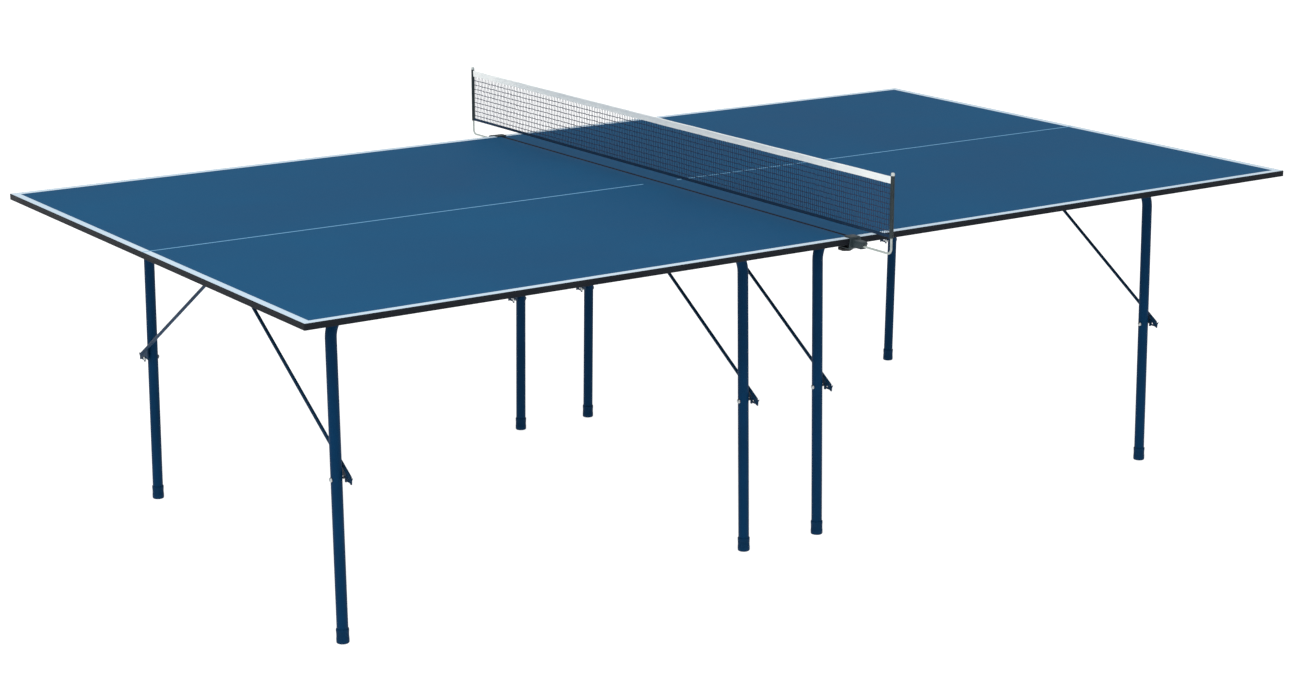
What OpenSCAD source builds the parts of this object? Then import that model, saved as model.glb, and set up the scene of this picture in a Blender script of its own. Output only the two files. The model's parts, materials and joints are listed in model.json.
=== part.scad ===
// Table tennis table: two half tops on folding tube leg frames, with a clamp-on net.
// Origin on the floor under the middle of the net line: +X along the table, +Y across it, +Z up.
// Each half has one frame along each long side. A frame's local unit faces +Y (outboard).

/* [Table top] */
// Length of the whole table
table_l = 2740; // [2300:10:3300]
// Width of the table
table_w = 1525; // [1300:5:1850]
// Height of the playing surface above the floor
table_h = 760; // [620:5:920]
// Thickness of the board
board_t = 14; // [11:0.5:25]
// Thickness of the plastic band round each board
band_t = 2; // [1:0.5:4]
// Gap between the two half tops
half_gap = 4; // [2:0.5:10]

/* [Leg frames] */
// Outside diameter of the leg tube
tube_d = 25; // [20:1:32]
// Wall thickness of the leg tube
tube_wall = 1.5; // [1:0.25:3]
// Bend radius of the tube's centre line
bend_r = 72; // [45:1:80]
// Distance between the two legs of one frame
leg_pitch = 1050; // [800:5:1080]
// Distance from the net line to the middle of a half's frames
frame_mid = 632; // [620:1:660]
// Shift of near and far frames either way, so that they fold side by side
frame_stagger = 46; // [40:1:60]
// Distance of the fold axis from the table's centre line
bar_y = 550; // [440:5:640]
// How far each foot stands outboard of its fold axis
foot_splay = 15; // [0:1:40]
// Clear gap between the top bar and the board
bar_gap = 0.5; // [0.3:0.1:3]

/* [Feet and saddles] */
// Wall thickness of a foot cap
cap_wall = 1.6; // [1:0.1:3]
// Height of a foot cap
cap_h = 32; // [20:1:60]
// Thickness of a foot cap's floor
cap_floor = 5; // [3:0.5:10]
// Thickness of a saddle's strap
strap_t = 2; // [1:0.25:3]
// Length of a saddle along the bar
saddle_l = 32; // [20:1:50]
// Width of a saddle's foot on each side of the bar
saddle_wing = 17; // [14:1:30]

/* [Stays and latches] */
// Diameter of a stay rod
stay_d = 8; // [6:0.5:10]
// Clear gap between a leg and the stay beside it
stay_gap = 2.5; // [2:0.5:6]
// Distance of the stays' upper pivots from the table's centre line
pivot_y = 40; // [30:1:80]
// Drop of the stay pivot below the board
pivot_drop = 28; // [22:1:40]
// Height of the latch pin above the floor
pin_z = 360; // [300:5:420]
// Distance of the latch pin below the stay rod's centre line
pin_off = 18; // [14:0.5:24]
// Diameter of the latch pin
pin_d = 6; // [4:0.5:8]
// Thickness of a latch plate
plate_t = 3; // [2:0.5:4]
// Diameter of the stay pivot rivet
rivet_d = 5; // [4:0.5:6]
// Thickness of the stay brackets' sheet
bracket_t = 2; // [1.5:0.25:3]

/* [Net] */
// Height of the net's top above the playing surface
net_h = 160; // [130:1:190]
// Height of the net's bottom cord above the playing surface
net_gap = 24; // [4:1:40]
// Distance of the net posts outside the table's edge
post_out = 126.5; // [110:0.5:170]
// Diameter of the post wire
wire_d = 5; // [4:0.5:7]
// Height of the white tape along the net's top
tape_h = 17; // [12:1:20]
// Thickness of the white tape
tape_t = 3; // [2.5:0.25:5]
// Outside diameter of the net's end sleeves
sleeve_d = 9; // [8:0.5:12]

/* [Net clamps] */
// Width of a clamp along the table's edge
clamp_w = 36; // [30:1:50]
// Reach of a clamp's upper jaw over the playing surface
jaw_reach = 23; // [15:1:30]
// Thickness of a clamp's walls
clamp_wall = 3; // [3:0.5:6]
// Room under the board for the clamp's pad and screw
clamp_room = 7.5; // [7.5:0.5:20]
// Diameter of the clamp screw
screw_d = 8; // [6:1:10]
// Diameter of the clamp knob
knob_d = 34; // [26:1:40]

/* [Hidden] */

// Signs of the two halves and of the two long sides
HALF_A = -1;
HALF_B = 1;
NEAR = -1;
FAR = 1;
// Signs of a frame's two legs: the one by the table's end and the one by the net
LEG_END = 1;
LEG_NET = -1;

// Clearance of a running pin in its hole, and of a part in its seat, on the radius
run_cl = 0.08;
seat_cl = 0.05;
// Clearance of the latch slot round its pin
slot_cl = 0.4;
// Smallest overlap that makes a cut go right through
through = 1;
smooth = 64;

// Heights
under_z = table_h - board_t;
axis_z = under_z - bar_gap - tube_d / 2;
pivot_z = under_z - pivot_drop;

// Leg frame
splay_a = atan(foot_splay / axis_z);
leg_l = axis_z / cos(splay_a);
leg_straight = leg_l - bend_r - cap_floor;
bar_straight = leg_pitch - 2 * bend_r;
pin_y = bar_y + (axis_z - pin_z) * tan(splay_a);

// Saddles: places along the bar, and how far their screws stand from the fold axis
saddle_xs = [-bar_straight / 2 + saddle_l, 0, bar_straight / 2 - saddle_l];
strap_r = tube_d / 2 + run_cl;
saddle_screw_y = strap_r + strap_t + saddle_wing / 2;

// Stay: place beside its leg, and direction at rest, from the pivot down to the pin and pin_off above it
stay_off = tube_d / 2 + stay_gap + stay_d / 2;
pin_dist = sqrt(pow(pin_y - pivot_y, 2) + pow(pivot_z - pin_z, 2));
stay_a = atan((pivot_z - pin_z) / (pin_y - pivot_y)) - asin(pin_off / pin_dist);
stay_tail = 17;
stay_l = sqrt(pow(pin_dist, 2) - pow(pin_off, 2)) + stay_tail;
eye_r = 8;
eye_t = 4;
eye_neck = 14;

// Latch plate, measured from the latch pin's centre, outboard and up
hook_in = 15;
hook_lip = 5;
hook_drop = 9;
hook_chamfer = 1;
throat_drop = hook_drop - 3;
tab_out = 31;
tab_step = 4;
tab_up = 7;
tab_down = 9;
slot_r = pin_d / 2 + slot_cl;
slot_flare = 16;
window_r = 4.5;
window_out = 15;
window_low = 2;

// Latch pin
pin_head_d = 11;
pin_head_t = 4;
pin_head_taper = 3;
pin_collar_d = 9;
pin_collar_t = 1.5;
collar_gap = 1;
collar_x = stay_off + plate_t / 2 + collar_gap;

// Stay bracket
ear_gap = eye_t + 1;
ear_r = 9;
bracket_w = ear_gap + 2 * bracket_t;
bracket_side_cl = 0.5;
bracket_foot_w = 2 * (stay_off - tube_d / 2 - bracket_side_cl);
bracket_l = 52;
bracket_screw_y = 20;
rivet_head_d = 8;
rivet_head_t = 1.8;

// Wood screws
screw_head_d = 8;
screw_head_t = 2.2;
screw_head_taper = 2;
screw_shank_d = 4;
screw_skin = 4;
screw_grip = board_t - screw_skin;

// Joining clips and studs under the gap
clip_y = 420;
clip_l = 90;
clip_w = 30;
clip_t = 3;
clip_shift = 6;
clip_screw_x = 14;
clip_screw_pitch = 16;
clip_hole_x = 30;
stud_slack = 0.5;
stud_d = 8;
stud_head_d = 14;
stud_head_t = 3;

// Net
post_y = table_w / 2 + post_out;
net_top = table_h + net_h;
net_low = table_h + net_gap;
cord_d = 2.4;
cord_drop = 3;
mesh_t = 1;
mesh_tuck = 5;
sleeve_past = 2;
sleeve_low = net_low - sleeve_past;
sleeve_top = net_top + sleeve_past / 2;
net_half = post_y - sleeve_d / 2;
cap_post_d = 8.5;
cap_post_h = 7;
cap_chamfer = 2;
post_tip = 3;

// Post wire: an arm out of the clamp, a bend and an upright
arm_drop = 14;
arm_from_edge = 13;
arm_z = table_h - arm_drop;
post_bend_r = 12;
arm_y = post_y - post_bend_r;
arm_l = arm_y - table_w / 2 - arm_from_edge;

// Clamp, measured from the table's edge and from the playing surface
edge_y = table_w / 2;
edge_cl = 0.4;
lower_top = under_z - clamp_room;
lower_reach = 46;
block_out = 33;
block_w = 20;
block_h = 18;
block_low = arm_z - 6.5;
pad_d = 22;
pad_t = 3;
pad_gap = 0.1;
pad_socket = 2;
screw_from_edge = 33;
screw_y = edge_y - screw_from_edge;
knob_h = 8;
knob_gap = 1;
knob_lobes = 6;
knob_dent_r = 5;
knob_dent_out = 3;

// Places a half's unit with its outboard side on the near or the far long side
module unit(half, side) {
  translate([half * frame_mid + side * frame_stagger, 0, 0])
    rotate([0, 0, side == FAR ? 0 : 180])
      children();
}

// Sign along the local X of a unit's leg by the table's end or by the net
function leg_sign(half, side, leg) = half * side * leg;

module rod_x(d, x0, x1) {
  translate([x0, 0, 0])
    rotate([0, 90, 0])
      cylinder(h = x1 - x0, d = d, $fn = smooth);
}

// A half's outline from the net line's gap to the table's end, inset by a margin
module half_outline(half, inset) {
  x0 = half_gap / 2 + inset;
  x1 = table_l / 2 - inset;
  y1 = table_w / 2 - inset;
  polygon([[half * x0, -y1], [half * x1, -y1], [half * x1, y1], [half * x0, y1]]);
}

// Screw places, in a unit: saddles' first and then the brackets'
function saddle_screws() = [
  for (x = saddle_xs, s = [-1, 1]) [x, bar_y + s * saddle_screw_y]
];
function stay_x(leg_s) = leg_s * leg_pitch / 2 - stay_off;
function bracket_screws() = [
  for (leg_s = [-1, 1], s = [-1, 1]) [stay_x(leg_s), pivot_y + s * bracket_screw_y]
];
function clip_screws(half) = [
  for (side = [NEAR, FAR], n = [0, 1])
    [half * (half_gap / 2 + clip_screw_x + n * clip_screw_pitch), side * clip_y]
];

module pilot_holes(half) {
  for (side = [NEAR, FAR])
    unit(half, side)
      for (p = concat(saddle_screws(), bracket_screws()))
        pilot(p);
  if (half == HALF_A)
    for (p = clip_screws(half))
      pilot(p);
}

module pilot(p) {
  translate([p[0], p[1], under_z - through])
    cylinder(h = screw_grip + through, d = screw_shank_d, $fn = smooth);
}

module top_panel(half) {
  color("#28587a")
    difference() {
      translate([0, 0, under_z])
        linear_extrude(board_t)
          half_outline(half, band_t);
      pilot_holes(half);
      if (half == HALF_B)
        for (side = [NEAR, FAR])
          stud_at(side)
            cylinder(h = screw_grip, d = stud_d, $fn = smooth);
    }
}

module edge_band(half) {
  color("#24252a")
    translate([0, 0, under_z])
      linear_extrude(board_t)
        difference() {
          half_outline(half, 0);
          half_outline(half, band_t);
        }
}

// The tube's path as a solid of any diameter: legs hang down from a bar along X
module frame_path(d, leg_len) {
  rod_x(d, -bar_straight / 2, bar_straight / 2);
  for (s = [-1, 1]) {
    translate([s * bar_straight / 2, 0, -bend_r])
      rotate([90, s > 0 ? 0 : -90, 0])
        rotate_extrude(angle = 90, $fn = smooth)
          translate([bend_r, 0])
            circle(d = d, $fn = smooth);
    translate([s * leg_pitch / 2, 0, -bend_r - leg_len])
      cylinder(h = leg_len, d = d, $fn = smooth);
  }
}

// Puts a frame's own shape on its fold axis, with the feet splayed outboard
module on_fold_axis() {
  translate([0, bar_y, axis_z])
    rotate([splay_a, 0, 0])
      children();
}

module leg_frame(half, side) {
  color("#083456")
    unit(half, side)
      difference() {
        on_fold_axis()
          difference() {
            frame_path(tube_d, leg_straight);
            frame_path(tube_d - 2 * tube_wall, leg_straight + through);
          }
        for (s = [-1, 1])
          translate([s * leg_pitch / 2, pin_y, pin_z])
            rod_x(pin_d + 2 * seat_cl, -tube_d, tube_d);
      }
}

module foot_caps(half, side) {
  color("#0a2a44")
    unit(half, side)
      difference() {
        on_fold_axis()
          for (s = [-1, 1])
            translate([s * leg_pitch / 2, 0, -leg_l - through])
              rotate_extrude($fn = smooth)
                cap_profile();
        translate([-leg_pitch, 0, -table_h])
          cube([2 * leg_pitch, table_w, table_h]);
      }
}

// Half section of a foot cap: a cup round the tube's end with a rounded foot
module cap_profile() {
  r_in = tube_d / 2 + seat_cl;
  r_out = r_in + cap_wall;
  round_r = 4;
  floor_top = cap_floor + through;
  polygon(concat(
    [[0, 0], [r_out - round_r, 0]],
    [for (a = [-75:15:0]) [r_out - round_r + round_r * cos(a), round_r + round_r * sin(a)]],
    [[r_out, cap_h], [r_out - 1, cap_h + 1], [r_in, cap_h + 1], [r_in, floor_top], [0, floor_top]]
  ));
}

module latch_pins(half, side) {
  color("#b9bdbb")
    unit(half, side)
      for (s = [-1, 1])
        translate([s * leg_pitch / 2, pin_y, pin_z]) {
          rod_x(pin_d, -collar_x - pin_collar_t, tube_d / 2 + pin_head_t / 2);
          rod_x(pin_collar_d, -collar_x - pin_collar_t, -collar_x);
          translate([tube_d / 2 + seat_cl, 0, 0])
            rotate([0, 90, 0])
              cylinder(h = pin_head_t, d1 = pin_head_d, d2 = pin_head_d - pin_head_taper, $fn = smooth);
        }
}

module bar_saddles(half) {
  color("#9aa0a2")
    for (side = [NEAR, FAR])
      unit(half, side)
        difference() {
          for (x = saddle_xs)
            translate([x - saddle_l / 2, bar_y, axis_z])
              saddle();
          for (p = saddle_screws())
            translate([p[0], p[1], under_z - tube_d])
              cylinder(h = tube_d + through, d = screw_shank_d + 2 * seat_cl, $fn = smooth);
        }
}

// A pressed strap round the bar, open towards the board, with a foot on each side
module saddle() {
  top = under_z - axis_z;
  half_w = strap_r + strap_t;
  difference() {
    union() {
      rod_x(2 * half_w, 0, saddle_l);
      translate([0, -half_w, 0])
        cube([saddle_l, 2 * half_w, top]);
      translate([0, -half_w - saddle_wing, top - strap_t])
        cube([saddle_l, 2 * (half_w + saddle_wing), strap_t]);
    }
    rod_x(2 * strap_r, -through, saddle_l + through);
    translate([-through, -strap_r, 0])
      cube([saddle_l + 2 * through, 2 * strap_r, top + half_w]);
  }
}

module stay_brackets(half) {
  color("#0a3556")
    for (side = [NEAR, FAR])
      unit(half, side)
        difference() {
          for (s = [-1, 1])
            translate([stay_x(s), pivot_y, under_z])
              bracket();
          for (s = [-1, 1])
            translate([stay_x(s), pivot_y, pivot_z])
              rod_x(rivet_d + 2 * seat_cl, -bracket_w, bracket_w);
          for (p = bracket_screws())
            translate([p[0], p[1], under_z - bracket_t - through])
              cylinder(h = bracket_t + 2 * through, d = screw_shank_d + 2 * seat_cl, $fn = smooth);
        }
}

// A sheet channel: a foot plate under the board and two ears down to the pivot
module bracket() {
  translate([-bracket_foot_w / 2, -bracket_l / 2, -bracket_t])
    cube([bracket_foot_w, bracket_l, bracket_t]);
  for (s = [-1, 1])
    translate([s * (ear_gap + bracket_t) / 2 - bracket_t / 2, 0, -pivot_drop]) {
      rod_x(2 * ear_r, 0, bracket_t);
      translate([0, -ear_r, 0])
        cube([bracket_t, 2 * ear_r, pivot_drop - bracket_t / 2]);
    }
}

module stay_rivets(half) {
  color("#b9bdbb")
    for (side = [NEAR, FAR], s = [-1, 1])
      unit(half, side)
        translate([stay_x(s), pivot_y, pivot_z]) {
          rod_x(rivet_d, -bracket_w / 2 - rivet_head_t, bracket_w / 2 + rivet_head_t);
          for (e = [-1, 1])
            translate([e * (bracket_w / 2 + rivet_head_t / 2), 0, 0])
              rod_x(rivet_head_d, -rivet_head_t / 2, rivet_head_t / 2);
        }
}

// Places a stay's own shape: pivot at the origin, rod along local -Z
module on_stay(half, side, leg) {
  unit(half, side)
    translate([stay_x(leg_sign(half, side, leg)), pivot_y, pivot_z])
      rotate([90 - stay_a, 0, 0])
        children();
}

module stay(half, side, leg) {
  color("#14304a")
    on_stay(half, side, leg)
      difference() {
        union() {
          translate([0, 0, -stay_l])
            cylinder(h = stay_l - eye_neck, d = stay_d, $fn = smooth);
          translate([0, 0, -stay_l])
            sphere(d = stay_d, $fn = smooth);
          rod_x(2 * eye_r, -eye_t / 2, eye_t / 2);
          translate([-eye_t / 2, -stay_d / 2, -eye_neck - stay_d / 2])
            cube([eye_t, stay_d, eye_neck + stay_d / 2]);
        }
        rod_x(rivet_d + 2 * run_cl, -stay_d, stay_d);
      }
}

// A latch plate welded under the stay's end: its slot drops over the leg's pin
module latch(half, side, leg) {
  color("#14304a")
    difference() {
      unit(half, side)
        translate([stay_x(leg_sign(half, side, leg)) + plate_t / 2, pin_y, pin_z])
          rotate([90, 0, -90])
            mirror([1, 0, 0])
              linear_extrude(plate_t)
                latch_outline();
      on_stay(half, side, leg) {
        translate([0, 0, -stay_l])
          cylinder(h = stay_l, d = stay_d, $fn = smooth);
        translate([0, 0, -stay_l])
          sphere(d = stay_d, $fn = smooth);
      }
    }
}

// Outline across the table (outboard, up) from the pin's centre
module latch_outline() {
  rod_at = function(out) (pin_off - out * sin(stay_a)) / cos(stay_a);
  difference() {
    polygon([
      [-hook_in, -hook_chamfer], [-hook_in, rod_at(-hook_in)],
      [tab_out - tab_step, rod_at(tab_out - tab_step)],
      [tab_out + tab_step, tab_up], [tab_out, 0], [tab_out - hook_chamfer, -tab_down],
      [tab_out - 2 * tab_step, -throat_drop], [slot_r + hook_lip, -throat_drop],
      [slot_r + hook_lip - hook_chamfer, -hook_drop], [slot_r, -hook_drop], [0, -hook_drop]
    ]);
    circle(r = slot_r, $fn = smooth);
    polygon([
      [slot_r, 0], [slot_r, -2 * hook_drop], [-2 * hook_in, -2 * hook_drop],
      [-2 * hook_in, slot_r * cos(slot_flare) - 2 * hook_in * tan(slot_flare)],
      [-slot_r * sin(slot_flare), slot_r * cos(slot_flare)]
    ]);
    translate([window_out, 0])
      polygon([[-window_r, -window_low], [window_r, -window_low], [-window_r, window_r]]);
  }
}

// Pan-head screw, head down, with its shank up into the board
module wood_screw(p, seat) {
  translate([p[0], p[1], under_z - seat - screw_head_t]) {
    cylinder(h = screw_head_t, d1 = screw_head_d - screw_head_taper, d2 = screw_head_d, $fn = smooth);
    cylinder(h = screw_head_t + seat + screw_grip, d = screw_shank_d, $fn = smooth);
  }
}

module wood_screws(half) {
  color("#b9bdbb") {
    for (side = [NEAR, FAR])
      unit(half, side) {
        for (p = saddle_screws())
          wood_screw(p, strap_t);
        for (p = bracket_screws())
          wood_screw(p, bracket_t);
      }
    if (half == HALF_A)
      for (p = clip_screws(half))
        wood_screw(p, clip_t);
  }
}

// Stud's place under half B, beside the gap
module stud_at(side) {
  translate([half_gap / 2 + clip_hole_x, side * clip_y, under_z])
    children();
}

// Flat clips on half A that hook round the studs of half B
module joining_clips() {
  color("#9aa0a2")
    difference() {
      for (side = [NEAR, FAR])
        translate([clip_shift - half_gap / 2 - clip_l / 2, side * clip_y - clip_w / 2, under_z - clip_t])
          cube([clip_l, clip_w, clip_t]);
      for (p = clip_screws(HALF_A))
        translate([p[0], p[1], under_z - 2 * clip_t])
          cylinder(h = 3 * clip_t, d = screw_shank_d + 2 * seat_cl, $fn = smooth);
      for (side = [NEAR, FAR])
        stud_at(side) {
          translate([0, 0, -2 * clip_t])
            cylinder(h = 3 * clip_t, d = stud_d + 2 * slot_cl, $fn = smooth);
          translate([0, -stud_d / 2 - slot_cl, -2 * clip_t])
            cube([clip_l, stud_d + 2 * slot_cl, 3 * clip_t]);
        }
    }
}

module joining_studs() {
  color("#b9bdbb")
    for (side = [NEAR, FAR])
      stud_at(side) {
        translate([0, 0, -clip_t - stud_slack])
          cylinder(h = clip_t + stud_slack + screw_grip, d = stud_d, $fn = smooth);
        translate([0, 0, -clip_t - stud_slack - stud_head_t])
          cylinder(h = stud_head_t, d = stud_head_d, $fn = smooth);
      }
}

module net_mesh() {
  color("#203040")
    translate([-mesh_t / 2, -net_half, net_low + cord_d / 2])
      cube([mesh_t, 2 * net_half, net_h - net_gap - tape_h + mesh_tuck - cord_d / 2]);
}

module rod_y(d, half_l, z) {
  translate([0, half_l, z])
    rotate([90, 0, 0])
      cylinder(h = 2 * half_l, d = d, $fn = smooth);
}

// A folded tape, open below for the net's edge, with a tunnel for the top cord
module net_tape() {
  color("#e4e8ea")
    difference() {
      translate([-tape_t / 2, -net_half, net_top - tape_h])
        cube([tape_t, 2 * net_half, tape_h]);
      translate([-mesh_t / 2, -post_y, net_top - tape_h - through])
        cube([mesh_t, 2 * post_y, mesh_tuck + through]);
      rod_y(cord_d, post_y, net_top - cord_drop);
    }
}

module net_top_cord() {
  color("#d8dcdc")
    rod_y(cord_d, net_half, net_top - cord_drop);
}

module net_bottom_cord() {
  color("#101c2c")
    rod_y(cord_d, net_half, net_low);
}

// Puts a shape made for the far side on its own side of the table
module net_end(side) {
  rotate([0, 0, side == FAR ? 0 : 180])
    children();
}

module net_sleeve(side) {
  color("#26343c")
    net_end(side)
      translate([0, post_y, sleeve_low])
        difference() {
          cylinder(h = sleeve_top - sleeve_low, d = sleeve_d, $fn = smooth);
          translate([0, 0, -through])
            cylinder(h = sleeve_top, d = wire_d + 2 * seat_cl, $fn = smooth);
        }
}

module net_post(side) {
  upright_z = arm_z + post_bend_r;
  color("#bcc1bc")
    net_end(side) {
      translate([0, post_y, upright_z])
        cylinder(h = sleeve_top + post_tip - upright_z, d = wire_d, $fn = smooth);
      translate([0, arm_y, upright_z])
        rotate([0, 90, 0])
          rotate_extrude(angle = 90, $fn = smooth)
            translate([post_bend_r, 0])
              circle(d = wire_d, $fn = smooth);
      translate([0, arm_y, arm_z])
        rotate([90, 0, 0])
          cylinder(h = arm_l, d = wire_d, $fn = smooth);
    }
}

module post_cap(side) {
  color("#c6cac6")
    net_end(side)
      translate([0, post_y, sleeve_top])
        difference() {
          union() {
            cylinder(h = cap_post_h - cap_chamfer, d = cap_post_d, $fn = smooth);
            translate([0, 0, cap_post_h - cap_chamfer])
              cylinder(h = cap_chamfer, d1 = cap_post_d, d2 = cap_post_d - 2 * cap_chamfer, $fn = smooth);
          }
          translate([0, 0, -through])
            cylinder(h = post_tip + through, d = wire_d + 2 * seat_cl, $fn = smooth);
        }
}

// A C-shaped clamp over the table's edge, with a block outboard for the post's arm
module net_clamp(side) {
  back_y = edge_y + edge_cl;
  low_z = lower_top - clamp_wall;
  color("#39443f")
    net_end(side)
      difference() {
        union() {
          translate([-clamp_w / 2, back_y, low_z])
            cube([clamp_w, clamp_wall, table_h + clamp_wall - low_z]);
          translate([-clamp_w / 2, edge_y - jaw_reach, table_h])
            cube([clamp_w, jaw_reach + edge_cl + clamp_wall, clamp_wall]);
          translate([-clamp_w / 2, edge_y - lower_reach, low_z])
            cube([clamp_w, lower_reach + edge_cl + clamp_wall, clamp_wall]);
          translate([-block_w / 2, back_y, block_low])
            cube([block_w, block_out, block_h]);
        }
        translate([0, arm_y, arm_z])
          rotate([90, 0, 0])
            cylinder(h = arm_l, d = wire_d + 2 * seat_cl, $fn = smooth);
        translate([0, screw_y, low_z - through])
          cylinder(h = clamp_wall + 2 * through, d = screw_d + 2 * run_cl, $fn = smooth);
      }
}

module clamp_pad(side) {
  color("#1c1d20")
    net_end(side)
      translate([0, screw_y, under_z - pad_gap - pad_t])
        difference() {
          cylinder(h = pad_t, d = pad_d, $fn = smooth);
          translate([0, 0, -through])
            cylinder(h = pad_socket + through, d = screw_d + 2 * run_cl, $fn = smooth);
        }
}

module clamp_screw(side) {
  tip_z = under_z - pad_gap - pad_t + pad_socket;
  knob_top = lower_top - clamp_wall - knob_gap;
  color("#17181a")
    net_end(side)
      translate([0, screw_y, 0]) {
        translate([0, 0, knob_top - through])
          cylinder(h = tip_z - knob_top + through, d = screw_d, $fn = smooth);
        difference() {
          translate([0, 0, knob_top - knob_h])
            rotate_extrude($fn = smooth)
              knob_profile();
          for (n = [0:knob_lobes - 1])
            rotate([0, 0, n * 360 / knob_lobes])
              translate([knob_d / 2 + knob_dent_out, 0, knob_top - 2 * knob_h])
                cylinder(h = 3 * knob_h, r = knob_dent_r, $fn = smooth);
        }
      }
}

// Half section of the knob, rounded at both rims
module knob_profile() {
  r = knob_d / 2;
  round_r = 3;
  polygon(concat(
    [[0, 0], [r - round_r, 0]],
    [for (a = [-60:30:0]) [r - round_r + round_r * cos(a), round_r + round_r * sin(a)]],
    [for (a = [0:30:60]) [r - round_r + round_r * cos(a), knob_h - round_r + round_r * sin(a)]],
    [[r - round_r, knob_h], [0, knob_h]]
  ));
}

top_panel(HALF_A);  // top_panel_a
top_panel(HALF_B);  // top_panel_b
edge_band(HALF_A);  // edge_band_a
edge_band(HALF_B);  // edge_band_b
leg_frame(HALF_A, NEAR);  // leg_frame_a_near
leg_frame(HALF_A, FAR);  // leg_frame_a_far
leg_frame(HALF_B, NEAR);  // leg_frame_b_near
leg_frame(HALF_B, FAR);  // leg_frame_b_far
foot_caps(HALF_A, NEAR);  // foot_caps_a_near
foot_caps(HALF_A, FAR);  // foot_caps_a_far
foot_caps(HALF_B, NEAR);  // foot_caps_b_near
foot_caps(HALF_B, FAR);  // foot_caps_b_far
latch_pins(HALF_A, NEAR);  // latch_pins_a_near
latch_pins(HALF_A, FAR);  // latch_pins_a_far
latch_pins(HALF_B, NEAR);  // latch_pins_b_near
latch_pins(HALF_B, FAR);  // latch_pins_b_far
bar_saddles(HALF_A);  // bar_saddles_a
bar_saddles(HALF_B);  // bar_saddles_b
stay_brackets(HALF_A);  // stay_brackets_a
stay_brackets(HALF_B);  // stay_brackets_b
stay_rivets(HALF_A);  // stay_rivets_a
stay_rivets(HALF_B);  // stay_rivets_b
wood_screws(HALF_A);  // wood_screws_a
wood_screws(HALF_B);  // wood_screws_b
stay(HALF_A, NEAR, LEG_END);  // stay_a_near_end
stay(HALF_A, NEAR, LEG_NET);  // stay_a_near_net
stay(HALF_A, FAR, LEG_END);  // stay_a_far_end
stay(HALF_A, FAR, LEG_NET);  // stay_a_far_net
stay(HALF_B, NEAR, LEG_END);  // stay_b_near_end
stay(HALF_B, NEAR, LEG_NET);  // stay_b_near_net
stay(HALF_B, FAR, LEG_END);  // stay_b_far_end
stay(HALF_B, FAR, LEG_NET);  // stay_b_far_net
latch(HALF_A, NEAR, LEG_END);  // latch_a_near_end
latch(HALF_A, NEAR, LEG_NET);  // latch_a_near_net
latch(HALF_A, FAR, LEG_END);  // latch_a_far_end
latch(HALF_A, FAR, LEG_NET);  // latch_a_far_net
latch(HALF_B, NEAR, LEG_END);  // latch_b_near_end
latch(HALF_B, NEAR, LEG_NET);  // latch_b_near_net
latch(HALF_B, FAR, LEG_END);  // latch_b_far_end
latch(HALF_B, FAR, LEG_NET);  // latch_b_far_net
joining_clips();
joining_studs();
net_mesh();
net_tape();
net_top_cord();
net_bottom_cord();
net_sleeve(NEAR);  // net_sleeve_near
net_sleeve(FAR);  // net_sleeve_far
net_post(NEAR);  // net_post_near
net_post(FAR);  // net_post_far
post_cap(NEAR);  // post_cap_near
post_cap(FAR);  // post_cap_far
net_clamp(NEAR);  // net_clamp_near
net_clamp(FAR);  // net_clamp_far
clamp_pad(NEAR);  // clamp_pad_near
clamp_pad(FAR);  // clamp_pad_far
clamp_screw(NEAR);  // clamp_screw_near
clamp_screw(FAR);  // clamp_screw_far
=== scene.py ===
import json
import math

import bpy
import numpy as np
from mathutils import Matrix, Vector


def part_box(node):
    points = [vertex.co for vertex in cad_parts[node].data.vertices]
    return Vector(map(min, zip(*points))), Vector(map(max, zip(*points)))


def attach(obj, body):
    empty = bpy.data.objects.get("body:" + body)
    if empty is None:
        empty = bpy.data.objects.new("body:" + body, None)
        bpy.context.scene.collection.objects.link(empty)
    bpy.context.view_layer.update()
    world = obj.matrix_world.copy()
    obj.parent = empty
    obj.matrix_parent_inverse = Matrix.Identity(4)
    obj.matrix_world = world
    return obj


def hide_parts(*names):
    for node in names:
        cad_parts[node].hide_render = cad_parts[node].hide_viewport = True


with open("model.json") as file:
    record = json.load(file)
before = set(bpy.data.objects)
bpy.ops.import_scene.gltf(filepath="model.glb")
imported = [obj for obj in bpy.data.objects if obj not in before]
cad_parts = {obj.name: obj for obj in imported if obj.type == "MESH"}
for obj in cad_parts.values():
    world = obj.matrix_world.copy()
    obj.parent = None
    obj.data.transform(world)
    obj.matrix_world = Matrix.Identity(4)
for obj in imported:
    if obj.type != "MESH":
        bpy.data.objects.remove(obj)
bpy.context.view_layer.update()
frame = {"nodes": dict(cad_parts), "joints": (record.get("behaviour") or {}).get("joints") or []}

# The camera stands off the near left corner, more than twice as high as the net, with a long lens
# that keeps the far end of the table large.
tilt_down, heading = 14.678, -34.337
camera = bpy.data.objects.new("camera", bpy.data.cameras.new("camera"))
bpy.context.scene.collection.objects.link(camera)
camera.location = (-3.6994, -5.3500, 2.0684)
camera.rotation_euler = (math.radians(90 - tilt_down), 0, math.radians(heading))
camera.data.sensor_width = 36
camera.data.lens = 75.44
camera.data.clip_end = 100
bpy.context.scene.camera = camera

# The studio is a plain pale floor under a soft white sky, brightest overhead, with one broad soft
# lamp on the camera's left that gives the round tubes their shape.
WHITE = (1.0, 1.0, 1.0, 1.0)
level_light, overhead_light = 0.36, 1.15
floor_side = 30
floor_glow, floor_grey = 0.94, 0.28


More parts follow.
